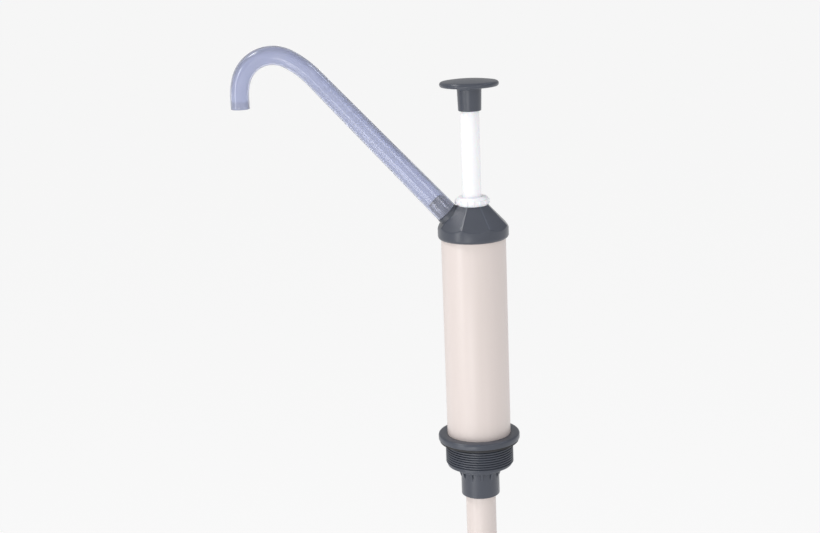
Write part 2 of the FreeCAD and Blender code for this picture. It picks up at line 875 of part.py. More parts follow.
def spout(doc, size):
    """Tapered spout pushed over the nipple, with a crook that turns its mouth straight down."""
    start = size.collar_thickness + size.spout_gap
    body = new_body(doc, "spout")
    stand_on_nipple_axis(body, size, start)
    leg = size.spout_leg_length
    turn(body, "Leg", [(ZERO, ZERO), (size.spout_root_radius, ZERO),
                       (size.spout_radius, leg), (ZERO, leg)])
    path = crook_path(body, size)
    sweep_round(body, "Crook", "PartDesign::AdditivePipe", path, size.spout_radius, leg)
    sweep_round(body, "CrookBore", "PartDesign::SubtractivePipe", path, size.spout_bore_radius, leg)
    turn(body, "LegBore", [
        (ZERO, ZERO),
        (size.spout_socket_radius, ZERO),
        (size.spout_socket_radius, size.spout_socket_depth),
        (size.spout_bore_radius, size.spout_socket_depth + size.spout_socket_radius
         - size.spout_bore_radius),
        (size.spout_bore_radius, leg),
        (ZERO, leg),
    ], kind="PartDesign::Groove")
    return body


def crook_path(body, size):
    """The crook's centreline: three arcs that turn the same way, then a short straight drop."""
    sketch = new_sketch(body, "CrookPath", "XZ_Plane")
    radii = (size.bend_radius, size.crook_radius, size.drop_radius)
    turns = (size.bend_turn, size.crook_turn, size.drop_turn)
    point = Vector(0, float(size.spout_leg_length), 0)
    angle = 0.0
    for radius, step in zip(radii, turns):
        outward = Vector(math.cos(angle), math.sin(angle), 0)
        centre = point - outward * float(radius)
        end_angle = angle + math.radians(float(step))
        circle = Part.Circle(centre, Vector(0, 0, 1), float(radius))
        sketch.addGeometry(Part.ArcOfCircle(circle, angle, end_angle), False)
        point = centre + Vector(math.cos(end_angle), math.sin(end_angle), 0) * float(radius)
        angle = end_angle
    heading = Vector(-math.sin(angle), math.cos(angle), 0)
    end = point + heading * float(size.drop_length)
    sketch.addGeometry(Part.LineSegment(point, end), False)
    hold_point(sketch, 0, 1, ZERO, size.spout_leg_length)
    sketch.addConstraint(Sketcher.Constraint("Horizontal", 0, 3, 0, 1))
    for number, (radius, step) in enumerate(zip(radii, turns)):
        rule = sketch.addConstraint(Sketcher.Constraint("Radius", number, float(radius)))
        bind(sketch, f"Constraints[{rule}]", radius)
        span = Sketcher.Constraint("Angle", number, math.radians(float(step)))
        bind(sketch, f"Constraints[{sketch.addConstraint(span)}]", step)
        sketch.addConstraint(Sketcher.Constraint("Tangent", number, 2, number + 1, 1))
    rule = sketch.addConstraint(Sketcher.Constraint("Distance", 3, float(size.drop_length)))
    bind(sketch, f"Constraints[{rule}]", size.drop_length)
    return sketch


def sweep_round(body, name, kind, path, radius, height):
    """Sweeps a circle along the path, to add to the body or to cut it."""
    section = new_sketch(body, name + "Section", "XY_Plane", height)
    draw_circle(section, radius)
    before = volume(body)
    feature = body.newObject(kind, name)
    feature.Profile = section
    feature.Spine = path
    body.Document.recompute()
    if kind.endswith("SubtractivePipe"):
        check_cut(body, name, before)
    return feature


# ---------------------------------------------------------------- the whole pump

SUB_PARTS = (
    bung_adapter, bung_gasket,
    foot_valve_body, suction_ball, ball_cage, spigot_o_ring, retaining_ring,
    suction_tube, suction_strainer,
    barrel, head_gasket, pump_head, outlet_nipple, rod_seal, gland_washer, gland_nut,
    plunger_rod, knob, piston_nut, piston_washer, piston_body, piston_cup,
    piston_valve_disc, valve_stop_washer,
    spout,
)


def check(doc, parts):
    """Stops if any object failed, or if a sub-part isn't one valid solid."""
    failed = [item.Label for item in doc.Objects if {"Invalid", "Error"} & set(item.State)]
    if failed:
        raise ValueError(f"failed objects: {failed}")
    for item in parts:
        shape = item.Shape
        if shape.isNull() or not shape.isValid() or len(shape.Solids) != 1:
            raise ValueError(f"{item.Label} is not one valid solid")


def main():
    """Builds every sub-part, checks it and writes it to the parts folder."""
    doc = FreeCAD.newDocument("drum_pump")
    size = Sizes(doc)
    parts = [make(doc, size) for make in SUB_PARTS]
    doc.recompute()
    check(doc, parts)
    os.makedirs("parts", exist_ok=True)
    for item in parts:
        item.Shape.exportStep(f"parts/{item.Label}.step")
        box = item.Shape.BoundBox
        print(f"{item.Label:20s} {item.Shape.Volume / 1000:9.2f} cm3  z {box.ZMin:8.2f} {box.ZMax:8.2f}"
              f"  x {box.XMin:8.2f} {box.XMax:8.2f}")


main()
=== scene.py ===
"""A drum barrel pump: the looks of its pieces, in metres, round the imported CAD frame.

The origin is the centre of the drum's bung seat, +Z up, with the spout towards -X. Every visible
piece is a mesh of its own that stands for its CAD node; the sealed inner pieces keep their CAD
meshes and get their materials here.
"""

from __future__ import annotations

import logging
import math
from collections.abc import Callable, Iterable, Mapping, Sequence
from dataclasses import dataclass
from enum import Enum

import bmesh
import bpy
from mathutils import Matrix, Vector


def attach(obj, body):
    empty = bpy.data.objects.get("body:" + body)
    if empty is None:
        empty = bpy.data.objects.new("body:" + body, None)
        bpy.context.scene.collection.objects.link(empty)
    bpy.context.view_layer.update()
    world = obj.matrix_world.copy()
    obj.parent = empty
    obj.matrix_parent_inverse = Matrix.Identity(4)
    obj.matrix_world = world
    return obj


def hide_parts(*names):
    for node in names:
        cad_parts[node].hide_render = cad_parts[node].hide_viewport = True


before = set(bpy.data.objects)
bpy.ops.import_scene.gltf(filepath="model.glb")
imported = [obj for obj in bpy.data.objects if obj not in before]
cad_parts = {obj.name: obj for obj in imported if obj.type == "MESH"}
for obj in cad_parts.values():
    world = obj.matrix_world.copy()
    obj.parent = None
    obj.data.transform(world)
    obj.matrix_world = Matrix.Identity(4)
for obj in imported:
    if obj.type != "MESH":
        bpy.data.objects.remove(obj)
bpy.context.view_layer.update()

log = logging.getLogger("drum_pump")

MM = 0.001
FULL_TURN = 2.0 * math.pi
CENTRE = (0.0, 0.0, 0.0)
UP = (0.0, 0.0, 1.0)
RING_STEPS = 128
SMALL_RING_STEPS = 64

# Distances in metres: what counts as nothing, and what counts as lying on a ring.
SMALL = 1e-6
NEAR = 2e-5
# Angles in radians: an edge that is shaded sharp, a true corner, and the slack beside a slot.
SHARP_ANGLE = math.radians(38.0)
CORNER_ANGLE = 1.0
SLOT_SLACK = 0.001
# The height of a unit normal below which a face stands upright, and above which it is level.
UPRIGHT = 0.1
LEVEL = 0.99

Node = bpy.types.Node
NodeTree = bpy.types.NodeTree
NodeSocket = bpy.types.NodeSocket
BMesh = bmesh.types.BMesh
BMVert = bmesh.types.BMVert
BMEdge = bmesh.types.BMEdge
Element = BMVert | BMEdge | bmesh.types.BMFace
Point = tuple[float, float]
Rim = tuple[float, float, float]


# ------------------------------------------------------------------ frame names


class Body(Enum):
    """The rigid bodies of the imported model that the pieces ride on."""

    ADAPTER = "adapter"
    PUMP = "pump"
    SPOUT = "spout"
    PLUNGER = "plunger"


class Slot(Enum):
    """The record's material slots."""

    GREY = "grey_polypropylene"
    PVC = "cream_pvc"
    WHITE = "white_acetal"
    LDPE = "clear_ldpe"
    RUBBER = "black_nitrile"
    STEEL = "stainless_steel"


# ------------------------------------------------------------------ shader nodes


def srgb(code: str) -> tuple[float, float, float, float]:
    """Turns an sRGB colour, as six hex digits, to Blender's linear values with full alpha."""
    parts = (int(code[i:i + 2], 16) / 255.0 for i in (0, 2, 4))
    red, green, blue = (
        part / 12.92 if part <= 0.04045 else ((part + 0.055) / 1.055) ** 2.4 for part in parts
    )
    return red, green, blue, 1.0


def add_node(
    tree: NodeTree, kind: str, settings: Mapping[str, object] | None = None,
    inputs: Mapping[str | int, object] | None = None,
) -> Node:
    """Adds one shader node with its settings and its links.

    Args:
        tree: the material's node tree.
        kind: the node's type name.
        settings: the node's own properties.
        inputs: a value, or another node's output, for each named input.

    Returns:
        The new node.
    """
    node = tree.nodes.new(kind)
    for name, value in (settings or {}).items():
        setattr(node, name, value)
    for name, value in (inputs or {}).items():
        if isinstance(value, NodeSocket):
            tree.links.new(value, node.inputs[name])
        else:
            node.inputs[name].default_value = value
    return node


# ------------------------------------------------------------------ finishes


@dataclass(frozen=True)
class Finish:
    """What every finish here has: a colour, its faint mottling and a grain in the surface.

    A stretch above 1 draws the grain out along Z, as extruding or drawing does.
    """

    name: str
    slot: Slot
    colour: str
    shade: str
    ior: float
    roughness: float
    roughness_swing: float
    grain_mm: float
    grain_depth_mm: float
    mottle_mm: float
    stretch: float = 1.0

    def make(self) -> bpy.types.Material:
        """Makes the material, or finds it if it has been made."""
        made = bpy.data.materials.get(self.name)
        if made is not None:
            return made
        material = bpy.data.materials.new(self.name)
        material.use_nodes = True
        tree = material.node_tree
        tree.nodes.clear()
        place = add_node(tree, "ShaderNodeTexCoord").outputs["Object"]
        drawn = add_node(tree, "ShaderNodeMapping", inputs={
            "Vector": place, "Scale": (1.0, 1.0, 1.0 / self.stretch)}).outputs["Vector"]
        mottle = self.noise(tree, drawn, self.mottle_mm, detail=3.0)
        grain = self.noise(tree, drawn, self.grain_mm, detail=2.0)
        colour = add_node(tree, "ShaderNodeMix", {"data_type": "RGBA"}, {
            0: mottle, 6: srgb(self.colour), 7: srgb(self.shade)}).outputs[2]
        rough = add_node(tree, "ShaderNodeMapRange", inputs={
            "Value": grain,
            "To Min": self.roughness - self.roughness_swing,
            "To Max": self.roughness + self.roughness_swing}).outputs["Result"]
        bump = add_node(tree, "ShaderNodeBump", inputs={
            "Height": grain, "Strength": 1.0, "Distance": self.grain_depth_mm * MM})
        shader = add_node(tree, "ShaderNodeBsdfPrincipled", inputs={
            "Base Color": colour, "Roughness": rough, "Normal": bump.outputs["Normal"]})
        self.tune(shader)
        add_node(tree, "ShaderNodeOutputMaterial", inputs={"Surface": shader.outputs["BSDF"]})
        return material

    @staticmethod
    def noise(tree: NodeTree, place: NodeSocket, size_mm: float, detail: float) -> NodeSocket:
        """Adds noise whose spots are about size_mm across.

        Args:
            tree: the material's node tree.
            place: the coordinates that the noise is laid on.
            size_mm: the size of one spot.
            detail: how many finer octaves it has.

        Returns:
            The noise's value, from 0 to 1.
        """
        return add_node(tree, "ShaderNodeTexNoise", inputs={
            "Vector": place, "Scale": 1.0 / (size_mm * MM), "Detail": detail}).outputs["Fac"]

    def tune(self, shader: Node) -> None:
        """Sets the numbers that are the same all over the surface."""
        shader.inputs["IOR"].default_value = self.ior


@dataclass(frozen=True)
class MilkyPlastic(Finish):
    """A natural, unpigmented plastic: light goes a little way into it."""

    subsurface: float = 0.15
    depth_mm: float = 2.0

    def tune(self, shader: Node) -> None:
        """Adds the scattering under the surface."""
        shader.inputs["IOR"].default_value = self.ior
        shader.inputs["Subsurface Weight"].default_value = self.subsurface
        shader.inputs["Subsurface Scale"].default_value = self.depth_mm * MM


@dataclass(frozen=True)
class TranslucentPlastic(Finish):
    """A thin milky wall that shows what is behind it as through frosted glass."""

    transmission: float = 0.84

    def tune(self, shader: Node) -> None:
        """Lets light through the wall."""
        shader.inputs["IOR"].default_value = self.ior
        shader.inputs["Transmission Weight"].default_value = self.transmission


@dataclass(frozen=True)
class Metal(Finish):
    """A bare metal, which keeps the default index of refraction."""

    def tune(self, shader: Node) -> None:
        """Makes it a metal."""
        shader.inputs["Metallic"].default_value = 1.0


# Injection-moulded polypropylene, grey: satin, from the spark-eroded mould, with soft lights
# along every edge. The real grain is under 0.1 mm; it is drawn at 0.5 mm so that it shows.
GREY_POLYPROPYLENE = Finish(
    name="moulded_grey_polypropylene", slot=Slot.GREY, colour="474B55", shade="3F434D",
    ior=1.49, roughness=0.30, roughness_swing=0.04, grain_mm=0.5, grain_depth_mm=0.008,
    mottle_mm=14.0)

# Extruded rigid PVC pipe, cream: smooth and slightly waxy, with faint lines along the draw.
CREAM_PVC = Finish(
    name="extruded_cream_pvc", slot=Slot.PVC, colour="DACFCB", shade="D3C8C3",
    ior=1.53, roughness=0.36, roughness_swing=0.05, grain_mm=1.1, grain_depth_mm=0.01,
    mottle_mm=9.0, stretch=30.0)

# Drawn acetal rod, natural white: glossy from sliding through its seal, lines along its length.
WHITE_ACETAL_ROD = MilkyPlastic(
    name="drawn_white_acetal", slot=Slot.WHITE, colour="F6F6F8", shade="F1F1F4",
    ior=1.48, roughness=0.24, roughness_swing=0.04, grain_mm=0.6, grain_depth_mm=0.004,
    mottle_mm=6.0, stretch=25.0)

# Moulded acetal, natural white: the gland nut and the fittings inside, satin from the mould.
WHITE_ACETAL = MilkyPlastic(
    name="moulded_white_acetal", slot=Slot.WHITE, colour="F4F4F6", shade="EDEDF1",
    ior=1.48, roughness=0.34, roughness_swing=0.05, grain_mm=0.45, grain_depth_mm=0.008,
    mottle_mm=5.0)

# Natural low-density polyethylene: a milky, faintly blue wall, waxy outside.
CLEAR_LDPE = TranslucentPlastic(
    name="natural_ldpe", slot=Slot.LDPE, colour="DCE0F2", shade="D2D7ED",
    ior=1.51, roughness=0.13, roughness_swing=0.02, grain_mm=6.0, grain_depth_mm=0.004,
    mottle_mm=12.0)

# Moulded nitrile rubber, black: matt, with a bloom that greys it a little.
BLACK_NITRILE = Finish(
    name="moulded_black_nitrile", slot=Slot.RUBBER, colour="1C1C1E", shade="242427",
    ior=1.52, roughness=0.62, roughness_swing=0.08, grain_mm=0.4, grain_depth_mm=0.015,
    mottle_mm=4.0)

# Stamped and tumbled stainless steel: bright, with a fine tumbled grain.
STAINLESS_STEEL = Metal(
    name="tumbled_stainless_steel", slot=Slot.STEEL, colour="C6C6C8", shade="B4B4B7",
    ior=1.5, roughness=0.27, roughness_swing=0.06, grain_mm=0.3, grain_depth_mm=0.006,
    mottle_mm=3.0)

# Turned stainless steel, dulled by handling: the outlet stub, with a soft streak of light
# along it.
TURNED_STEEL = Metal(
    name="turned_stainless_steel", slot=Slot.STEEL, colour="8C8A88", shade="7E7C7B",
    ior=1.5, roughness=0.2, roughness_swing=0.04, grain_mm=0.3, grain_depth_mm=0.003,
    mottle_mm=4.0)


# ------------------------------------------------------------------ mesh steps


def edges_of(geom: Iterable[Element]) -> list[BMEdge]:
    """Picks the edges out of what an operator gave."""
    return [item for item in geom if isinstance(item, BMEdge)]


def verts_of(geom: Iterable[Element]) -> list[BMVert]:
    """Picks the vertices out of what an operator gave."""
    return [item for item in geom if isinstance(item, BMVert)]


def lies_flat(edge: BMEdge) -> bool:
    """Tells whether an edge is level."""
    return abs(edge.verts[0].co.z - edge.verts[1].co.z) < SMALL


def copy_round(bm: BMesh, geom: Sequence[Element], count: int) -> None:
    """Copies geometry round Z until there are count of it."""
    bmesh.ops.spin(bm, geom=geom, cent=CENTRE, axis=UP, angle=FULL_TURN * (count - 1) / count,
                   steps=count - 1, use_duplicate=True)


def arc(centre: Point, radius: float, start: float, end: float, steps: int = 8) -> list[Point]:
    """Gives points round part of a circle in a section.

    Args:
        centre: the circle's centre, across and up.
        radius: the circle's radius.
        start: the first point's angle in degrees, from straight out.
        end: the last point's angle in degrees.
        steps: how many pieces the arc has.

    Returns:
        The points, with both ends.
    """
    angles = (math.radians(start + (end - start) * i / steps) for i in range(steps + 1))
    return [(centre[0] + radius * math.cos(a), centre[1] + radius * math.sin(a)) for a in angles]


def spin_section(
    bm: BMesh, section: Sequence[Point], closed: bool = True, steps: int = RING_STEPS
) -> list[BMVert]:
    """Spins a section, given in mm as (radius, height), full circle about Z.

    A section that starts and ends on the axis is shut by the axis, and gets no closing edge.

    Args:
        bm: the mesh that the turned surface is added to.
        section: the section's points in order.
        closed: whether its last point joins its first.
        steps: how many steps go round.

    Returns:
        The new vertices.
    """
    known = set(bm.verts)
    verts = [bm.verts.new((radius * MM, 0.0, height * MM)) for radius, height in section]
    shut = closed and section[0][0] + section[-1][0] > 0.0
    pairs = list(zip(verts, verts[1:] + verts[:1])) if shut else list(zip(verts, verts[1:]))
    edges = [bm.edges.new(pair) for pair in pairs]
    bmesh.ops.spin(bm, geom=verts + edges, cent=CENTRE, axis=UP, angle=FULL_TURN, steps=steps,
                   use_merge=True)
    new = [vert for vert in bm.verts if vert not in known]
    bmesh.ops.remove_doubles(bm, verts=new, dist=SMALL)
    return [vert for vert in bm.verts if vert not in known]


def ring_edges(bm: BMesh, radius: float, height: float) -> list[BMEdge]:
    """Finds the level edges that go round at a radius and a height in mm."""
    def on_ring(vert: BMVert) -> bool:
        """Tells whether a vertex lies on the ring."""
        flat = math.hypot(vert.co.x, vert.co.y)
        return abs(flat - radius * MM) < NEAR and abs(vert.co.z - height * MM) < NEAR
    return [edge for edge in bm.edges if all(on_ring(vert) for vert in edge.verts)]


def soften(bm: BMesh, edges: Iterable[BMEdge], width: float, segments: int = 3) -> None:
    """Rounds edges over a width in mm."""
    bmesh.ops.bevel(bm, geom=list(edges), offset=width * MM, offset_type="OFFSET",
                    segments=segments, profile=0.5, affect="EDGES", clamp_overlap=True,
                    material=-1)


def turned(
    section: Sequence[Point],
    rounds: Iterable[Rim] = (),
    steps: int = RING_STEPS,
) -> BMesh:
    """Turns a closed section to a ring and rounds its rims.

    Args:
        section: (radius, height) points in mm.
        rounds: (radius, height, width) of each rim that is rounded, in mm.
        steps: how many steps go round.

    Returns:
        The mesh.
    """
    bm = bmesh.new()
    spin_section(bm, section, steps=steps)
    for radius, height, width in rounds:
        soften(bm, ring_edges(bm, radius, height), width)
    return bm


def rectangle(inner: float, outer: float, bottom: float, top: float) -> list[Point]:
    """Gives a pipe's or flat ring's section from its radii and heights in mm."""
    return [(inner, bottom), (outer, bottom), (outer, top), (inner, top)]


def pipe(bore: float, radius: float, bottom: float, top: float, edge: float) -> BMesh:
    """Turns a plain pipe from its radii and heights in mm, with all four rims rounded."""
    return turned(rectangle(bore, radius, bottom, top),
                  [(across, height, edge) for across in (bore, radius) for height in (bottom, top)])


def boundary_at(bm: BMesh, test: Callable[[Vector], bool]) -> list[BMEdge]:
    """Finds the open edges whose middles pass a test."""
    return [edge for edge in bm.edges
            if edge.is_boundary and test((edge.verts[0].co + edge.verts[1].co) / 2.0)]


def keep_piece(
    name: str,
    bm: BMesh,
    finish: Finish,
    body: Body,
    nodes: Sequence[str],
) -> None:
    """Cleans up a mesh and counts its open edges, dresses it and lets it ride in place of its CAD
    nodes.

    Args:
        name: the piece's name.
        bm: its mesh, which is freed.
        finish: what it is made of.
        body: the body that it rides on.
        nodes: the CAD nodes that it stands for.
    """
    bmesh.ops.remove_doubles(bm, verts=bm.verts, dist=SMALL)
    bmesh.ops.dissolve_degenerate(bm, edges=bm.edges, dist=SMALL)
    bmesh.ops.recalc_face_normals(bm, faces=bm.faces)
    open_edges = sum(1 for edge in bm.edges if not edge.is_manifold)
    mesh = bpy.data.meshes.new(name)
    bm.to_mesh(mesh)
    bm.free()
    mesh.shade_smooth()
    mesh.set_sharp_from_angle(angle=SHARP_ANGLE)
    mesh.materials.append(finish.make())
    piece = bpy.data.objects.new(name, mesh)
    bpy.context.scene.collection.objects.link(piece)
    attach(piece, body.value)
    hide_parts(*nodes)
    log.info("%s: %d faces, %d open edges, rides on %s", name, len(mesh.polygons), open_edges,
             body.value)


def dress_node(node: str, finish: Finish) -> None:
    """Gives a CAD node that stays in view its material."""
    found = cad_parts[node]
    mesh = found.data
    mesh.materials.clear()
    mesh.materials.append(finish.make())
    log.info("%s: CAD mesh in %s", node, finish.name)


# ------------------------------------------------------------------ adapter


@dataclass
class DrumAdapter:
    """The flanged adapter that screws into the bung, and its gasket. Sizes in mm."""

    flange_radius: float = 35.98
    flange_bottom: float = 2.0
    flange_top: float = 7.5
    flange_round: float = 1.7
    rim_round: float = 0.7
    socket_radius: float = 28.1
    socket_floor: float = 4.5
    bore_radius: float = 22.1
    relief_radius: float = 29.0
    thread_length: float = 22.0
    thread_root: float = 28.75
    thread_crest: float = 29.98
    thread_pitch: float = 2.21
    thread_start: float = 0.8
    thread_buried: float = 0.4
    crest_share: float = 0.14
    root_share: float = 0.42
    steps_per_turn: int = 96
    gasket_bore: float = 30.2
    gasket_radius: float = 35.0

    def build(self) -> None:
        """Builds the adapter and its gasket."""
        bm = turned([
            (self.bore_radius, -self.thread_length),
            (self.thread_root, -self.thread_length),
            (self.thread_root, 0.0),
            (self.relief_radius, 0.0),
            (self.relief_radius, self.flange_bottom),
            (self.flange_radius, self.flange_bottom),
            (self.flange_radius, self.flange_top),
            (self.socket_radius, self.flange_top),
            (self.socket_radius, self.socket_floor),
            (self.bore_radius, self.socket_floor),
        ], [
            (self.flange_radius, self.flange_top, self.flange_round),
            (self.flange_radius, self.flange_bottom, self.rim_round),
            (self.socket_radius, self.flange_top, self.rim_round / 2.0),
            (self.thread_root, -self.thread_length, self.rim_round),
            (self.bore_radius, -self.thread_length, self.rim_round),
        ])
        self.add_thread(bm)
        keep_piece("drum_adapter", bm, GREY_POLYPROPYLENE, Body.ADAPTER, ["bung_adapter"])
        gasket = turned(rectangle(self.gasket_bore, self.gasket_radius, 0.0, self.flange_bottom),
                        [(self.gasket_radius, 0.0, self.rim_round / 2.0),
                         (self.gasket_radius, self.flange_bottom, self.rim_round / 2.0)])
        keep_piece("seat_gasket", gasket, BLACK_NITRILE, Body.ADAPTER, ["bung_gasket"])

    def add_thread(self, bm: BMesh) -> None:
        """Winds the thread's ridge round the spigot, from the flange down."""
        turns = (self.thread_length - 2.0 * self.thread_start) / self.thread_pitch - 1.0
        steps = int(turns * self.steps_per_turn)
        top = -self.thread_start - self.thread_pitch * self.root_share
        crest = self.thread_pitch * self.crest_share
        root = self.thread_pitch * self.root_share
        buried = self.thread_root - self.thread_buried
        section = [(buried, top - root), (self.thread_crest, top - crest),
                   (self.thread_crest, top + crest), (buried, top + root)]
        verts = [bm.verts.new((radius * MM, 0.0, height * MM)) for radius, height in section]
        start = bm.faces.new(verts)
        drop = -self.thread_pitch * MM / self.steps_per_turn
        bmesh.ops.spin(bm, geom=[start], cent=CENTRE, axis=UP, dvec=(0.0, 0.0, drop),
                       angle=FULL_TURN * steps / self.steps_per_turn, steps=steps,
                       use_merge=False)


# ------------------------------------------------------------------ foot valve and suction


@dataclass
class FootValve:
    """What shows of the foot valve under the adapter: its tail, and the clip on its spigot."""

    plug_radius: float = 24.95
    plug_bottom: float = 4.6
    plug_top: float = 28.0
    cage_socket: float = 16.5
    cage_shelf: float = 24.0
    chamber_radius: float = 15.0
    chamber_floor: float = 6.0
    seat_height: float = -2.0
    flow_radius: float = 7.0
    spigot_radius: float = 22.0
    spigot_bottom: float = -26.0
    ring_groove_radius: float = 20.0
    ring_groove_top: float = -8.65
    ring_groove_bottom: float = -11.35
    clip_groove_radius: float = 20.65
    clip_groove_top: float = -22.1
    clip_groove_bottom: float = -23.8
    tail_radius: float = 17.0
    tail_bottom: float = -50.0
    tube_socket: float = 13.4
    edge: float = 0.8
    clip_radius: float = 23.95
    clip_gap_degrees: float = 44.0
    clip_top: float = -22.2
    clip_bottom: float = -23.7
    clip_lug_radius: float = 2.6
    clip_eye_radius: float = 1.0
    clip_gap: float = 0.02
    clip_rounding: float = 0.25
    clip_lug_turn: float = 0.05
    lug_steps: int = 24
    tail_ribs: int = 12
    rib_width: float = 2.0
    rib_depth: float = 2.6
    rib_height: float = 7.8
    rib_buried: float = 0.6
    rib_top_buried: float = 0.1

    def build(self) -> None:
        """Builds the valve's body and the clip."""
        bm = turned([
            (self.tube_socket, self.tail_bottom),
            (self.tail_radius, self.tail_bottom),
            (self.tail_radius, self.spigot_bottom),
            (self.spigot_radius, self.spigot_bottom),
            (self.spigot_radius, self.clip_groove_bottom),
            (self.clip_groove_radius, self.clip_groove_bottom),
            (self.clip_groove_radius, self.clip_groove_top),
            (self.spigot_radius, self.clip_groove_top),
            (self.spigot_radius, self.ring_groove_bottom),
            (self.ring_groove_radius, self.ring_groove_bottom),
            (self.ring_groove_radius, self.ring_groove_top),
            (self.spigot_radius, self.ring_groove_top),
            (self.spigot_radius, self.plug_bottom),
            (self.plug_radius, self.plug_bottom),
            (self.plug_radius, self.plug_top),
            (self.cage_socket, self.plug_top),
            (self.cage_socket, self.cage_shelf),
            (self.chamber_radius, self.cage_shelf),
            (self.chamber_radius, self.chamber_floor),
            (self.flow_radius, self.seat_height),
            (self.flow_radius, self.spigot_bottom),
            (self.tube_socket, self.spigot_bottom),
        ], [
            (self.tail_radius, self.tail_bottom, self.edge),
            (self.tube_socket, self.tail_bottom, self.edge),
            (self.tail_radius, self.spigot_bottom, self.edge),
            (self.spigot_radius, self.spigot_bottom, self.edge),
            (self.plug_radius, self.plug_top, self.edge),
            (self.plug_radius, self.plug_bottom, self.edge),
        ])
        self.add_ribs(bm)
        keep_piece("foot_valve_shell", bm, GREY_POLYPROPYLENE, Body.PUMP, ["foot_valve_body"])
        self.build_clip()

    def add_ribs(self, bm: BMesh) -> None:
        """Stands gusset ribs between the tail and the spigot's underside."""
        made = bmesh.ops.create_cube(bm, size=1.0)["verts"]
        middle = Vector((self.tail_radius + (self.rib_depth - self.rib_buried) / 2.0, 0.0,
                         self.spigot_bottom - self.rib_height / 2.0 + self.rib_top_buried)) * MM
        size = Vector((self.rib_depth + self.rib_buried, self.rib_width, self.rib_height)) * MM
        bmesh.ops.scale(bm, vec=size, verts=made)
        bmesh.ops.translate(bm, vec=middle, verts=made)
        foot = [vert for vert in made if vert.co.z < middle.z and vert.co.x > middle.x]
        bmesh.ops.translate(bm, vec=(-self.rib_depth * MM, 0.0, 0.0), verts=foot)
        faces = list({face for vert in made for face in vert.link_faces})
        copy_round(bm, faces, self.tail_ribs)

    def build_clip(self) -> None:
        """Builds the open retaining clip, its mouth towards +Y with an eyed lug at each end."""
        bm = bmesh.new()
        section = rectangle(self.clip_groove_radius + self.clip_gap, self.clip_radius,
                            self.clip_bottom, self.clip_top)
        gap = math.radians(self.clip_gap_degrees)
        start = math.pi / 2.0 + gap / 2.0
        verts = [bm.verts.new((radius * MM, 0.0, height * MM)) for radius, height in section]
        face = bm.faces.new(verts)
        bmesh.ops.rotate(bm, cent=CENTRE, matrix=Matrix.Rotation(start, 3, "Z"), verts=verts)
        bmesh.ops.spin(bm, geom=[face], cent=CENTRE, axis=UP, angle=FULL_TURN - gap,
                       steps=RING_STEPS)
        rims = [edge for edge in bm.edges
                if lies_flat(edge) and len(edge.link_faces) == 2
                and edge.calc_face_angle(0.0) > CORNER_ANGLE]
        soften(bm, rims, self.clip_rounding, 2)
        for side in (-1.0, 1.0):
            self.add_lug(bm, math.pi / 2.0 + side * (gap / 2.0 + self.clip_lug_turn))
        keep_piece("retaining_clip", bm, STAINLESS_STEEL, Body.PUMP, ["retaining_ring"])

    def add_lug(self, bm: BMesh, angle: float) -> None:
        """Adds one lug, a ring with an eye for the pliers, at an angle round the clip."""
        outer, eye = self.clip_lug_radius, self.clip_eye_radius
        lug = spin_section(bm, rectangle(eye, outer, self.clip_bottom, self.clip_top),
                           steps=self.lug_steps)
        reach = (self.clip_radius - outer) * MM
        place = (reach * math.cos(angle), reach * math.sin(angle), 0.0)
        bmesh.ops.translate(bm, vec=place, verts=lug)


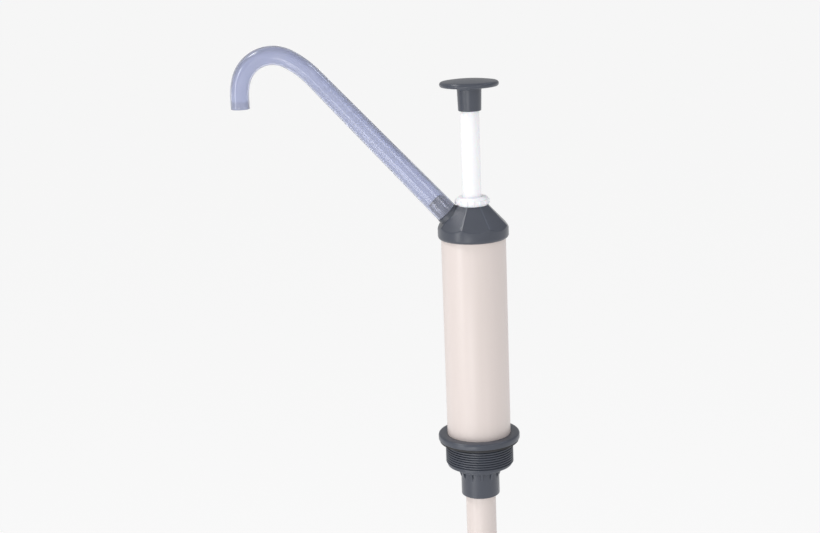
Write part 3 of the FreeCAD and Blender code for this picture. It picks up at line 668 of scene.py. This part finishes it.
@dataclass
class Suction:
    """The dip tube and the slotted strainer on its lower end. Sizes in mm."""

    tube_radius: float = 13.35
    tube_bore: float = 10.45
    tube_top: float = -26.05
    tube_bottom: float = -828.0
    tube_edge: float = 0.5
    cap_top: float = -805.0
    cap_bottom: float = -842.0
    cap_socket: float = 13.4
    cap_edge: float = 1.4
    lip_height: float = 4.0
    lip_radius: float = 16.5
    wall_radius: float = 15.6
    slots: int = 10
    slot_steps: int = 4
    bay_steps: int = 12
    slot_bottom: float = -838.5
    slot_top: float = -830.5
    chamber_radius: float = 12.4
    shelf: float = -828.0

    def build(self) -> None:
        """Builds the tube and its strainer."""
        tube = pipe(self.tube_bore, self.tube_radius, self.tube_bottom, self.tube_top,
                    self.tube_edge)
        keep_piece("dip_tube", tube, CREAM_PVC, Body.PUMP, ["suction_tube"])
        self.build_strainer()

    def build_strainer(self) -> None:
        """Turns the cap and opens its slots."""
        bm = turned([
            (0.0, self.cap_bottom),
            (self.wall_radius, self.cap_bottom),
            (self.wall_radius, self.slot_bottom),
            (self.wall_radius, self.slot_top),
            (self.wall_radius, self.cap_top - self.lip_height),
            (self.lip_radius, self.cap_top - self.lip_height),
            (self.lip_radius, self.cap_top),
            (self.cap_socket, self.cap_top),
            (self.cap_socket, self.shelf),
            (self.chamber_radius, self.shelf),
            (self.chamber_radius, self.slot_top),
            (self.chamber_radius, self.slot_bottom),
            (0.0, self.slot_bottom),
        ], [
            (self.wall_radius, self.cap_bottom, self.cap_edge),
            (self.lip_radius, self.cap_top, self.cap_edge / 2.0),
            (self.lip_radius, self.cap_top - self.lip_height, self.cap_edge / 2.0),
            (self.cap_socket, self.cap_top, self.cap_edge / 2.0),
        ], steps=self.slots * self.bay_steps)
        self.open_slots(bm)
        keep_piece("strainer_cap", bm, GREY_POLYPROPYLENE, Body.PUMP, ["suction_strainer"])

    def open_slots(self, bm: BMesh) -> None:
        """Takes the wall away in each slot and joins its inner and outer edges."""
        middle = (self.slot_bottom + self.slot_top) / 2.0 * MM
        bay = FULL_TURN / self.slots
        share = self.slot_steps / self.bay_steps
        gone = []
        for face in bm.faces:
            spot = face.calc_center_median()
            turn_share = (math.atan2(spot.y, spot.x) % bay) / bay
            upright = abs(face.normal.z) < UPRIGHT
            if upright and abs(spot.z - middle) < MM and turn_share < share:
                gone.append(face)
        bmesh.ops.delete(bm, geom=gone, context="FACES")
        for number in range(self.slots):
            def in_slot(spot: Vector, number: int = number) -> bool:
                """Tells whether a point is in this slot's bay."""
                turn = math.atan2(spot.y, spot.x) + SLOT_SLACK
                return int(turn % FULL_TURN // bay) == number
            edges = boundary_at(bm, in_slot)
            bmesh.ops.bridge_loops(bm, edges=edges)


# ------------------------------------------------------------------ barrel and head


@dataclass
class Barrel:
    """The pump's cylinder. Sizes in mm."""

    bore: float = 25.0
    radius: float = 28.0
    bottom: float = 4.6
    top: float = 191.2
    edge: float = 0.6

    def build(self) -> None:
        """Builds the barrel."""
        bm = pipe(self.bore, self.radius, self.bottom, self.top, self.edge)
        keep_piece("pump_barrel", bm, CREAM_PVC, Body.PUMP, ["barrel"])


@dataclass
class Nipple:
    """The spout's seat: a steel stub in the head's collar, and the leaning axis they share.

    Its sizes are in mm, and its heights run along that axis from the head's facet.
    """

    root_across: float = 19.72
    root_height: float = 203.9
    lean_degrees: float = 42.0
    length: float = 18.6
    radius: float = 8.2
    bore: float = 6.4
    tip_radius: float = 7.2
    tip_length: float = 3.0
    seat_depth: float = 0.5
    seat_radius: float = 8.25
    outlet_radius: float = 5.5
    collar_radius: float = 10.0
    collar_top: float = 4.0
    collar_root: float = 1.6
    edge: float = 0.4

    def matrix(self) -> Matrix:
        """Gives the turn and place of the leaning axis, whose +Z runs out along the spout."""
        place = Vector((-self.root_across, 0.0, self.root_height)) * MM
        return Matrix.Translation(place) @ Matrix.Rotation(-math.radians(self.lean_degrees), 4, "Y")

    def turned_here(self, points: list[Point], rounded: list[Rim]) -> BMesh:
        """Turns a section round the leaning axis.

        Args:
            points: the closed section, as (radius, height) in mm.
            rounded: the rings to round, as (radius, height, width) in mm.

        Returns:
            The turned mesh, standing on the leaning axis.
        """
        bm = turned(points, rounded, steps=SMALL_RING_STEPS)
        bmesh.ops.recalc_face_normals(bm, faces=bm.faces)
        bmesh.ops.transform(bm, matrix=self.matrix(), verts=bm.verts)
        return bm

    def add_collar(self, bm: BMesh) -> None:
        """Adds the collar to the head's mesh, with the seat for the stub."""
        join(bm, self.turned_here([
            (self.outlet_radius, -self.collar_root),
            (self.collar_radius, -self.collar_root),
            (self.collar_radius, self.collar_top),
            (self.seat_radius, self.collar_top),
            (self.seat_radius, -self.seat_depth),
            (self.outlet_radius, -self.seat_depth),
        ], [(self.collar_radius, self.collar_top, self.edge)]))

    def build(self) -> None:
        """Builds the steel stub, with its tapered tip."""
        shoulder = self.length - self.tip_length
        bm = self.turned_here([
            (self.bore, -self.seat_depth),
            (self.radius, -self.seat_depth),
            (self.radius, shoulder),
            (self.tip_radius, self.length),
            (self.bore, self.length),
        ], [
            (self.radius, shoulder, self.edge),
            (self.tip_radius, self.length, self.edge / 2.0),
        ])
        keep_piece("outlet_stub", bm, TURNED_STEEL, Body.PUMP, ["outlet_nipple"])


def join(bm: BMesh, other: BMesh) -> None:
    """Adds another mesh to bm, and frees it."""
    held = bpy.data.meshes.new("held")
    other.to_mesh(held)
    other.free()
    bm.from_mesh(held)
    bpy.data.meshes.remove(held)


@dataclass
class PumpHead:
    """The head: a round band, eight facets that cut its crest, and a collar. Sizes in mm."""

    nipple: Nipple
    band_radius: float = 30.6
    band_bottom: float = 183.4
    band_round: float = 3.2
    skirt_radius: float = 28.05
    crest_height: float = 212.4
    crest_apothem: float = 13.2
    facet_foot: float = 28.7
    facet_foot_height: float = 195.2
    facets: int = 8
    edge_width: float = 2.4
    edge_segments: int = 6
    rim_steps: int = 10
    sharp_degrees: float = 20.0
    crest_margin: float = 1.0
    margin: float = 0.1
    ledge: float = 192.7
    cavity_radius: float = 24.0
    cavity_slope: float = 195.6
    boss_radius: float = 14.0
    boss_bottom: float = 195.0
    rod_hole: float = 8.3

    def build(self) -> None:
        """Builds the head with its hollow and its collar."""
        bm = bmesh.new()
        self.add_outside(bm)
        self.cut_facets(bm)
        self.round_facets(bm)
        self.add_inside(bm)
        self.nipple.add_collar(bm)
        keep_piece("faceted_head", bm, GREY_POLYPROPYLENE, Body.PUMP, ["pump_head"])

    def add_outside(self, bm: BMesh) -> None:
        """Turns the round blank that the facets are cut from, open underneath."""
        centre = (self.band_radius - self.band_round, self.band_bottom + self.band_round)
        inset = (self.skirt_radius - centre[0]) / self.band_round
        low = -math.degrees(math.acos(inset))
        rim = arc(centre, self.band_round, low, 0.0, self.rim_steps)
        spin_section(bm, [*rim, (self.band_radius, self.crest_height), (0.0, self.crest_height)],
                     closed=False)

    def cut_facets(self, bm: BMesh) -> None:
        """Cuts the blank with one sloping plane for each facet, and closes each cut."""
        slope = math.atan2(self.crest_height - self.facet_foot_height,
                           self.facet_foot - self.crest_apothem)
        for number in range(self.facets):
            angle = FULL_TURN * number / self.facets
            out = Vector((math.cos(angle), math.sin(angle), 0.0))
            point = (out * self.crest_apothem + Vector((0.0, 0.0, self.crest_height))) * MM
            normal = out * math.sin(slope) + Vector((0.0, 0.0, math.cos(slope)))
            geom = [*bm.verts, *bm.edges, *bm.faces]
            cut = bmesh.ops.bisect_plane(bm, geom=geom, dist=SMALL, plane_co=point,
                                         plane_no=normal, clear_outer=True)["geom_cut"]
            bmesh.ops.edgeloop_fill(bm, edges=edges_of(cut))
        bmesh.ops.remove_doubles(bm, verts=bm.verts, dist=NEAR)
        bmesh.ops.recalc_face_normals(bm, faces=bm.faces)

    def round_facets(self, bm: BMesh) -> None:
        """Rounds the edges between facets, and where the facets meet the band."""
        low = (self.crest_height - self.crest_margin) * MM
        limit = math.radians(self.sharp_degrees)
        sharp = [edge for edge in bm.edges
                 if len(edge.link_faces) == 2 and edge.calc_face_angle(0.0) > limit
                 and min(vert.co.z for vert in edge.verts) < low]
        soften(bm, sharp, self.edge_width, self.edge_segments)

    def add_inside(self, bm: BMesh) -> None:
        """Opens the crest for the rod, and turns the hollow that fits over the barrel."""
        crest = [face for face in bm.faces
                 if face.normal.z > LEVEL
                 and abs(face.calc_center_median().z - self.crest_height * MM) < SMALL]
        bmesh.ops.delete(bm, geom=crest, context="FACES")
        rise = self.cavity_radius - self.boss_radius
        spin_section(bm, [
            (self.skirt_radius, self.ledge),
            (self.cavity_radius, self.ledge),
            (self.cavity_radius, self.cavity_slope),
            (self.boss_radius, self.cavity_slope + rise),
            (self.boss_radius, self.boss_bottom),
            (self.rod_hole, self.boss_bottom),
            (self.rod_hole, self.crest_height),
        ], closed=False)
        top = boundary_at(bm, lambda spot: spot.z > (self.crest_height - self.margin) * MM)
        bmesh.ops.bridge_loops(bm, edges=top)
        skirt = boundary_at(bm, lambda spot: spot.z < (self.ledge + self.margin) * MM)
        bmesh.ops.bridge_loops(bm, edges=skirt)


# ------------------------------------------------------------------ gland


@dataclass
class GlandNut:
    """The ribbed hand nut on the head's crest. Sizes in mm."""

    bottom: float = 212.4
    foot_radius: float = 13.0
    foot_height: float = 1.6
    grip_radius: float = 14.4
    height: float = 7.4
    bevel: float = 2.2
    top_radius: float = 12.4
    bore: float = 8.2
    shank_radius: float = 10.5
    shank_length: float = 8.5
    ribs: int = 16
    rib_radius: float = 1.1
    rib_circle: float = 14.1
    rib_segments: int = 12
    rib_rounding: float = 0.44
    edge: float = 0.5

    def build(self) -> None:
        """Builds the nut."""
        low, high = self.bottom, self.bottom + self.height
        bm = turned([
            (self.bore, low - self.shank_length),
            (self.shank_radius, low - self.shank_length),
            (self.shank_radius, low),
            (self.foot_radius, low),
            (self.foot_radius, low + self.foot_height),
            (self.grip_radius, low + self.foot_height),
            (self.grip_radius, high - self.bevel),
            (self.top_radius, high),
            (self.bore, high),
        ], [
            (self.foot_radius, low, self.edge / 2.0),
            (self.grip_radius, low + self.foot_height, self.edge / 2.0),
            (self.grip_radius, high - self.bevel, self.edge),
            (self.top_radius, high, self.edge),
            (self.bore, high, self.edge),
        ])
        self.add_ribs(bm)
        keep_piece("gland_hand_nut", bm, WHITE_ACETAL, Body.PUMP, ["gland_nut"])

    def add_ribs(self, bm: BMesh) -> None:
        """Stands the grip's ribs round the nut, each with a rounded top."""
        low = self.bottom + self.foot_height
        high = self.bottom + self.height - self.bevel
        ribs = bmesh.new()
        bmesh.ops.create_circle(ribs, cap_ends=True, radius=self.rib_radius * MM,
                                segments=self.rib_segments)
        lifted = bmesh.ops.extrude_face_region(ribs, geom=list(ribs.faces))["geom"]
        bmesh.ops.translate(ribs, vec=(0.0, 0.0, (high - low) * MM), verts=verts_of(lifted))
        soften(ribs, [edge for edge in ribs.edges if lies_flat(edge)], self.rib_rounding, 3)
        place = Vector((self.rib_circle, 0.0, low)) * MM
        bmesh.ops.translate(ribs, vec=place, verts=ribs.verts)
        copy_round(ribs, [*ribs.verts, *ribs.edges, *ribs.faces], self.ribs)
        join(bm, ribs)


# ------------------------------------------------------------------ plunger


@dataclass
class Plunger:
    """The rod and the push knob on its top. Sizes in mm."""

    rod_radius: float = 8.0
    rod_bottom: float = 100.0
    rod_shoulder: float = 131.1
    rod_top: float = 311.0
    rod_spigot: float = 5.0
    rod_edge: float = 0.8
    rod_gap: float = 0.05
    neck_bottom: float = 293.4
    neck_radius: float = 9.85
    neck_root: float = 10.5
    neck_socket: float = 8.05
    neck_round: float = 3.0
    neck_edge: float = 0.7
    disc_radius: float = 25.2
    disc_bottom: float = 313.9
    disc_thickness: float = 4.2
    disc_round: float = 1.9
    crown: float = 2.2
    crown_steps: int = 14

    def build(self) -> None:
        """Builds the rod and the knob."""
        rod = turned([
            (0.0, self.rod_bottom), (self.rod_spigot, self.rod_bottom),
            (self.rod_spigot, self.rod_shoulder), (self.rod_radius, self.rod_shoulder),
            (self.rod_radius, self.rod_top), (0.0, self.rod_top),
        ], [
            (self.rod_radius, self.rod_shoulder, self.rod_edge),
            (self.rod_radius, self.rod_top, self.rod_edge),
            (self.rod_spigot, self.rod_bottom, self.rod_edge),
        ])
        keep_piece("push_rod", rod, WHITE_ACETAL_ROD, Body.PLUNGER, ["plunger_rod"])
        self.build_knob()

    def build_knob(self) -> None:
        """Builds the crowned knob with its neck."""
        rim_top = self.disc_bottom + self.disc_thickness
        socket_top = self.rod_top + self.rod_gap
        sphere = (self.disc_radius ** 2 + self.crown ** 2) / (2.0 * self.crown)
        half_angle = math.degrees(math.asin(self.disc_radius / sphere))
        crown = arc((0.0, rim_top + self.crown - sphere), sphere, 90.0 - half_angle, 90.0,
                    self.crown_steps)
        bm = turned([
            (self.neck_socket, self.neck_bottom),
            (self.neck_radius, self.neck_bottom),
            (self.neck_root, self.disc_bottom),
            (self.disc_radius, self.disc_bottom),
            *crown,
            (0.0, socket_top),
            (self.neck_socket, socket_top),
        ], [
            (self.neck_root, self.disc_bottom, self.neck_round),
            (self.disc_radius, self.disc_bottom, self.disc_round),
            (self.disc_radius, rim_top, self.disc_round),
            (self.neck_radius, self.neck_bottom, self.neck_edge),
        ])
        keep_piece("push_knob", bm, GREY_POLYPROPYLENE, Body.PLUNGER, ["knob"])


# ------------------------------------------------------------------ spout


@dataclass
class Spout:
    """The tapered spout with its crook, in mm along the nipple's leaning axis."""

    nipple: Nipple
    start: float = 4.4
    root_radius: float = 9.8
    radius: float = 8.0
    wall: float = 1.42
    leg: float = 161.3
    leg_steps: int = 24
    bends: tuple[Point, ...] = ((77.0, 19.5), (27.7, 103.3), (55.0, 15.2))
    degrees_per_step: float = 3.0
    drop: float = 9.0
    lip: float = 0.45
    lip_degrees: float = 60.0

    def build(self) -> None:
        """Builds the spout's wall from its root ring, one stretch after another."""
        bm = bmesh.new()
        ring = bmesh.ops.create_circle(bm, cap_ends=False, radius=self.root_radius * MM,
                                       segments=SMALL_RING_STEPS)["verts"]
        end = self.draw_leg(bm, list({edge for vert in ring for edge in vert.link_edges}))
        angle = 0.0
        place = Vector((0.0, 0.0, self.leg))
        for radius, turn in self.bends:
            out = Vector((math.cos(angle), 0.0, math.sin(angle)))
            centre = place - out * radius
            end = self.bend(bm, end, centre, turn)
            angle += math.radians(turn)
            place = centre + Vector((math.cos(angle), 0.0, math.sin(angle))) * radius
        heading = Vector((-math.sin(angle), 0.0, math.cos(angle)))
        self.extrude(bm, end, heading * self.drop)
        bmesh.ops.recalc_face_normals(bm, faces=bm.faces)
        bmesh.ops.solidify(bm, geom=list(bm.faces), thickness=self.wall * MM)
        limit = math.radians(self.lip_degrees)
        lips = [edge for edge in bm.edges if edge.calc_face_angle(0.0) > limit]
        soften(bm, lips, self.lip, 3)
        axis = self.nipple.matrix() @ Matrix.Translation((0.0, 0.0, self.start * MM))
        bmesh.ops.transform(bm, matrix=axis, verts=bm.verts)
        keep_piece("hooked_spout", bm, CLEAR_LDPE, Body.SPOUT, ["spout"])

    def draw_leg(self, bm: BMesh, edges: list[BMEdge]) -> list[BMEdge]:
        """Extrudes the straight leg in steps, each a little narrower.

        Args:
            bm: the mesh.
            edges: the root ring's edges.

        Returns:
            The edges of the leg's far ring.
        """
        for step in range(self.leg_steps):
            before = self.radius_at(step)
            after = self.radius_at(step + 1)
            rise = Vector((0.0, 0.0, self.leg / self.leg_steps))
            edges = self.extrude(bm, edges, rise)
            ring = list({vert for edge in edges for vert in edge.verts})
            bmesh.ops.scale(bm, vec=(after / before, after / before, 1.0), verts=ring)
        return edges

    def radius_at(self, step: int) -> float:
        """The leg's outer radius at one of its steps."""
        return self.root_radius + (self.radius - self.root_radius) * step / self.leg_steps

    @staticmethod
    def extrude(bm: BMesh, edges: list[BMEdge], move: Vector) -> list[BMEdge]:
        """Extrudes an open ring by a move in mm, and gives the new ring's edges."""
        made = bmesh.ops.extrude_edge_only(bm, edges=edges)["geom"]
        bmesh.ops.translate(bm, vec=move * MM, verts=verts_of(made))
        return [edge for edge in edges_of(made) if edge.is_boundary]

    def bend(self, bm: BMesh, edges: list[BMEdge], centre: Vector, turn: float) -> list[BMEdge]:
        """Spins an open ring round a centre, and gives the far ring's edges."""
        steps = max(2, round(turn / self.degrees_per_step))
        verts = list({vert for edge in edges for vert in edge.verts})
        last = bmesh.ops.spin(bm, geom=verts + edges, cent=centre * MM, axis=(0.0, -1.0, 0.0),
                              angle=math.radians(turn), steps=steps)["geom_last"]
        return edges_of(last)


# ------------------------------------------------------------------ inner pieces


INNER_FINISHES: dict[str, Finish] = {
    "ball_cage": WHITE_ACETAL,
    "suction_ball": STAINLESS_STEEL,
    "spigot_o_ring": BLACK_NITRILE,
    "head_gasket": BLACK_NITRILE,
    "rod_seal": BLACK_NITRILE,
    "gland_washer": WHITE_ACETAL,
    "piston_nut": WHITE_ACETAL,
    "piston_washer": WHITE_ACETAL,
    "piston_body": WHITE_ACETAL,
    "piston_cup": BLACK_NITRILE,
    "piston_valve_disc": BLACK_NITRILE,
    "valve_stop_washer": WHITE_ACETAL,
}


# ------------------------------------------------------------------ stage


@dataclass(frozen=True)
class Lamp:
    """A soft studio lamp: an upright panel that looks at a point. Sizes in metres.

    A lamp that isn't seen_through leaves no sparkle in the milky wall of the spout.
    """

    name: str
    place: tuple[float, float, float]
    aim: tuple[float, float, float]
    width: float
    height: float
    power: float
    tint: str = "FFFFFF"
    seen_through: bool = False

    def hang(self) -> None:
        """Adds the lamp to the scene."""
        data = bpy.data.lights.new(self.name, "AREA")
        data.shape = "RECTANGLE"
        data.size = self.width
        data.size_y = self.height
        data.energy = self.power
        data.color = srgb(self.tint)[:3]
        lamp = bpy.data.objects.new(self.name, data)
        look = Vector(self.aim) - Vector(self.place)
        lamp.matrix_world = (Matrix.Translation(self.place)
                             @ look.to_track_quat("-Z", "Y").to_matrix().to_4x4())
        lamp.visible_camera = False
        lamp.visible_transmission = self.seen_through
        bpy.context.scene.collection.objects.link(lamp)


@dataclass
class Studio:
    """The pale floor, which glows like a light table, the soft light round it, and the camera."""

    floor_height: float = -0.86
    floor_size: float = 240.0
    floor_colour: str = "6E6E6E"
    floor_glow: str = "EDEDED"
    air_colour: str = "FFFFFF"
    air_strength: float = 0.48
    lamps: tuple[Lamp, ...] = (
        Lamp("key_strip", (-2.0, -1.35, 0.3), (0.0, 0.0, 0.15), 0.30, 2.2, 14.0,
             seen_through=True),
        Lamp("front_panel", (0.2, -3.0, 0.9), (0.0, 0.0, 0.15), 2.4, 2.0, 9.5),
        Lamp("low_left", (-0.54, -1.30, -0.37), (-0.1, 0.0, 0.28), 0.5, 0.5, 2.4),
        Lamp("top_left", (-1.2, -0.1, 1.9), (0.0, 0.0, 0.2), 0.4, 0.4, 15.0),
        Lamp("top_front", (0.0, -0.65, 1.9), (0.0, 0.0, 0.2), 1.2, 1.2, 2.0),
        Lamp("top_right", (1.2, 0.1, 1.6), (0.0, 0.0, 0.2), 0.3, 0.3, 3.0, "DDE6FF"),
        Lamp("stub_right", (1.19, -1.45, 0.86), (-0.027, 0.0, 0.212), 0.7, 0.7, 4.0,
             seen_through=True),
        Lamp("stub_left", (-0.78, -0.74, -0.80), (-0.027, 0.0, 0.212), 0.6, 0.6, 2.0,
             seen_through=True),
    )
    camera_place: tuple[float, float, float] = (-0.0867, -1.2394, 0.4474)
    camera_heading: float = 1.436
    camera_pitch: float = 13.025
    camera_roll: float = -2.249
    lens_mm: float = 64.6
    sensor_mm: float = 36.0

    def build(self) -> None:
        """Sets the floor, the light and the camera."""
        self.lay_floor()
        self.fill_air()
        for lamp in self.lamps:
            lamp.hang()
        self.place_camera()
        bpy.context.scene.view_settings.view_transform = "Standard"

    def lay_floor(self) -> None:
        """Lays a floor so wide that its edge is never seen."""
        bm = bmesh.new()
        bmesh.ops.create_grid(bm, x_segments=8, y_segments=8, size=self.floor_size / 2.0)
        bmesh.ops.translate(bm, vec=(0.0, 0.0, self.floor_height), verts=bm.verts)
        mesh = bpy.data.meshes.new("floor")
        bm.to_mesh(mesh)
        bm.free()
        material = bpy.data.materials.new("pale_floor_paper")
        material.use_nodes = True
        tree = material.node_tree
        tree.nodes.clear()
        matt = add_node(tree, "ShaderNodeBsdfDiffuse", inputs={"Color": srgb(self.floor_colour)})
        glow = add_node(tree, "ShaderNodeEmission", inputs={"Color": srgb(self.floor_glow)})
        both = add_node(tree, "ShaderNodeAddShader", inputs={
            0: matt.outputs["BSDF"], 1: glow.outputs["Emission"]})
        add_node(tree, "ShaderNodeOutputMaterial", inputs={"Surface": both.outputs["Shader"]})
        mesh.materials.append(material)
        floor = bpy.data.objects.new("floor", mesh)
        bpy.context.scene.collection.objects.link(floor)

    def fill_air(self) -> None:
        """Lights the scene evenly from all round."""
        world = bpy.data.worlds.new("studio_air")
        world.use_nodes = True
        tree = world.node_tree
        tree.nodes.clear()
        glow = add_node(tree, "ShaderNodeBackground", inputs={
            "Color": srgb(self.air_colour), "Strength": self.air_strength})
        add_node(tree, "ShaderNodeOutputWorld", inputs={"Surface": glow.outputs["Background"]})
        bpy.context.scene.world = world

    def place_camera(self) -> None:
        """Sets the camera a little above the knob, looking down past the pump's left side."""
        data = bpy.data.cameras.new("camera")
        data.lens = self.lens_mm
        data.sensor_width = self.sensor_mm
        data.clip_end = self.floor_size
        camera = bpy.data.objects.new("camera", data)
        turn = Matrix.Rotation(-math.radians(self.camera_heading), 4, "Z")
        tilt = Matrix.Rotation(math.radians(90.0 - self.camera_pitch), 4, "X")
        roll = Matrix.Rotation(math.radians(self.camera_roll), 4, "Z")
        camera.matrix_world = Matrix.Translation(self.camera_place) @ turn @ tilt @ roll
        bpy.context.scene.collection.objects.link(camera)
        bpy.context.scene.camera = camera


# ------------------------------------------------------------------ the scene


def main() -> None:
    """Builds the pump, its stage, its lights and its camera."""
    logging.basicConfig(level=logging.INFO, format="%(name)s: %(message)s")
    nipple = Nipple()
    assemblies = (DrumAdapter(), FootValve(), Suction(), Barrel(), PumpHead(nipple), nipple,
                  GlandNut(), Plunger(), Spout(nipple), Studio())
    for assembly in assemblies:
        assembly.build()
    for node, finish in INNER_FINISHES.items():
        dress_node(node, finish)


if __name__ == "__main__":
    main()
